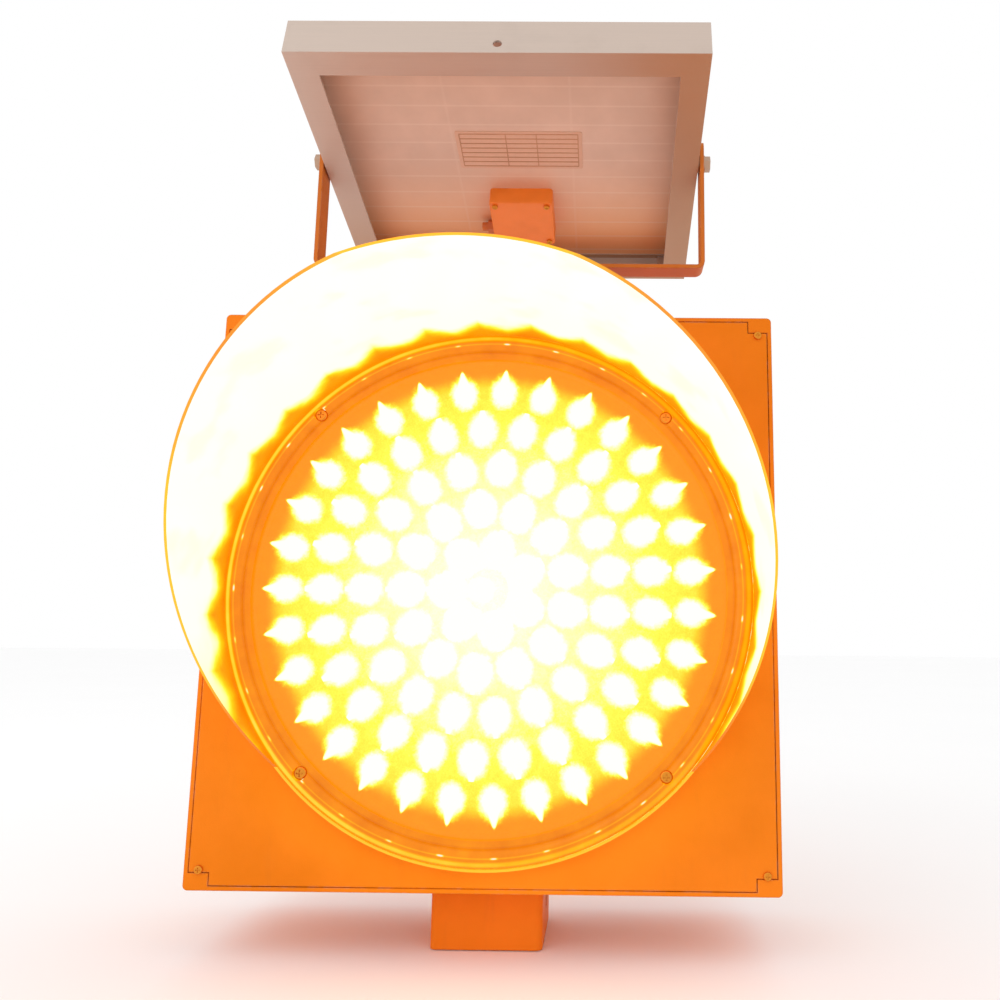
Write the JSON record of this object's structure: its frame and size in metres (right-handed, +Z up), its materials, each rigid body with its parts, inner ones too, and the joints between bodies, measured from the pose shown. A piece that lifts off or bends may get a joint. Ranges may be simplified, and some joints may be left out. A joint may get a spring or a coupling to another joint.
{
  "type": "solar warning beacon",
  "caption": "Solar amber road warning light: square housing, round LED lamp with cut-away visor, tilting panel in a swivel yoke, square pole socket.",
  "frame": {"origin": "centre of the pole socket's open lower end", "axes": "+Z up, lens faces -Y, +X to the right as seen from the front"},
  "size_m": [0.36, 0.3591, 0.5867],
  "materials": {
    "housing_paint": "semi-gloss orange powder coat",
    "socket_paint": "semi-gloss orange powder coat",
    "yoke_paint": "semi-gloss orange powder coat",
    "visor_plastic": "orange polycarbonate",
    "bezel_plastic": "gloss orange polycarbonate",
    "lens_plastic": "clear amber polycarbonate",
    "bowl_plastic": "moulded dark grey ABS",
    "led_resin": "amber LED resin",
    "board_resin": "green solder mask",
    "seal_rubber": "black sponge rubber",
    "lead_rubber": "black round lead",
    "screw_steel": "bright stainless",
    "bracket_steel": "zinc plated sheet",
    "battery_plastic": "black battery case",
    "case_plastic": "dark moulded case",
    "terminal_plastic": "green terminal moulding",
    "gland_plastic": "black nylon",
    "switch_plastic": "black nylon",
    "rocker_plastic": "gloss red",
    "frame_aluminium": "satin anodised",
    "key_aluminium": "mill finish",
    "back_sheet_film": "white laminate film",
    "cell_silicon": "dark blue cells",
    "panel_glass": "tempered clear glass",
    "junction_plastic": "orange moulded box",
    "label_film": "blank ruled film"
  },
  "bodies": {
    "housing": {"housing_shell": "housing_paint", "front_cover": "housing_paint", "cover_gasket": "seal_rubber", "cover_screws": "screw_steel", "pole_socket": "socket_paint", "socket_bolts": "screw_steel", "socket_nuts": "screw_steel", "lamp_bowl": "bowl_plastic", "lamp_grommet": "seal_rubber", "led_board": "board_resin", "board_screws": "screw_steel", "led_centre": "led_resin", "lens_gasket": "seal_rubber", "lens_cover": "lens_plastic", "lens_bezel": "bezel_plastic", "lens_screws": "screw_steel", "visor": "visor_plastic", "battery_tray": "bracket_steel", "battery": "battery_plastic", "battery_strap": "bracket_steel", "controller_base": "case_plastic", "controller_board": "board_resin", "controller_cover": "case_plastic", "terminal_block": "terminal_plastic", "battery_lead": "lead_rubber", "lamp_lead": "lead_rubber", "switch_lead": "lead_rubber", "panel_lead_inner": "lead_rubber", "rear_screws": "screw_steel", "cable_gland": "gland_plastic", "power_switch": "switch_plastic", "post_gasket": "seal_rubber", "top_post": "yoke_paint", "post_bolts": "screw_steel", "post_nuts": "screw_steel", "swivel_bolt": "screw_steel", "led_ring_1": "led_resin", "led_ring_2": "led_resin", "led_ring_3": "led_resin", "led_ring_4": "led_resin", "led_ring_5": "led_resin"},
    "yoke": {"yoke": "yoke_paint", "tilt_bolts": "screw_steel", "tilt_washers": "screw_steel", "tilt_nuts": "screw_steel"},
    "solar_panel": {"frame_front_rail": "frame_aluminium", "frame_right_rail": "frame_aluminium", "frame_rear_rail": "frame_aluminium", "frame_left_rail": "frame_aluminium", "corner_keys": "key_aluminium", "back_sheet": "back_sheet_film", "solar_cells": "cell_silicon", "panel_glass": "panel_glass", "junction_box": "junction_plastic", "junction_lid": "junction_plastic", "junction_screws": "screw_steel", "junction_gland": "gland_plastic", "rating_label": "label_film"},
    "rocker": {"switch_rocker": "rocker_plastic"}
  },
  "joints": [
    {"name": "yoke_swivel", "type": "hinge", "parent": "housing", "child": "yoke", "pos_m": [0, 0, 0.4553], "axis": [0, 0, 1], "range_deg": [-180, 180]},
    {"name": "panel_tilt", "type": "hinge", "parent": "yoke", "child": "solar_panel", "pos_m": [0, 0, 0.5405], "axis": [1, 0, 0], "range_deg": [-50, 79]},
    {"name": "switch_rock", "type": "hinge", "parent": "housing", "child": "rocker", "pos_m": [0.118, 0, 0.041], "axis": [1, 0, 0], "range_deg": [-24, 0]}
  ]
}
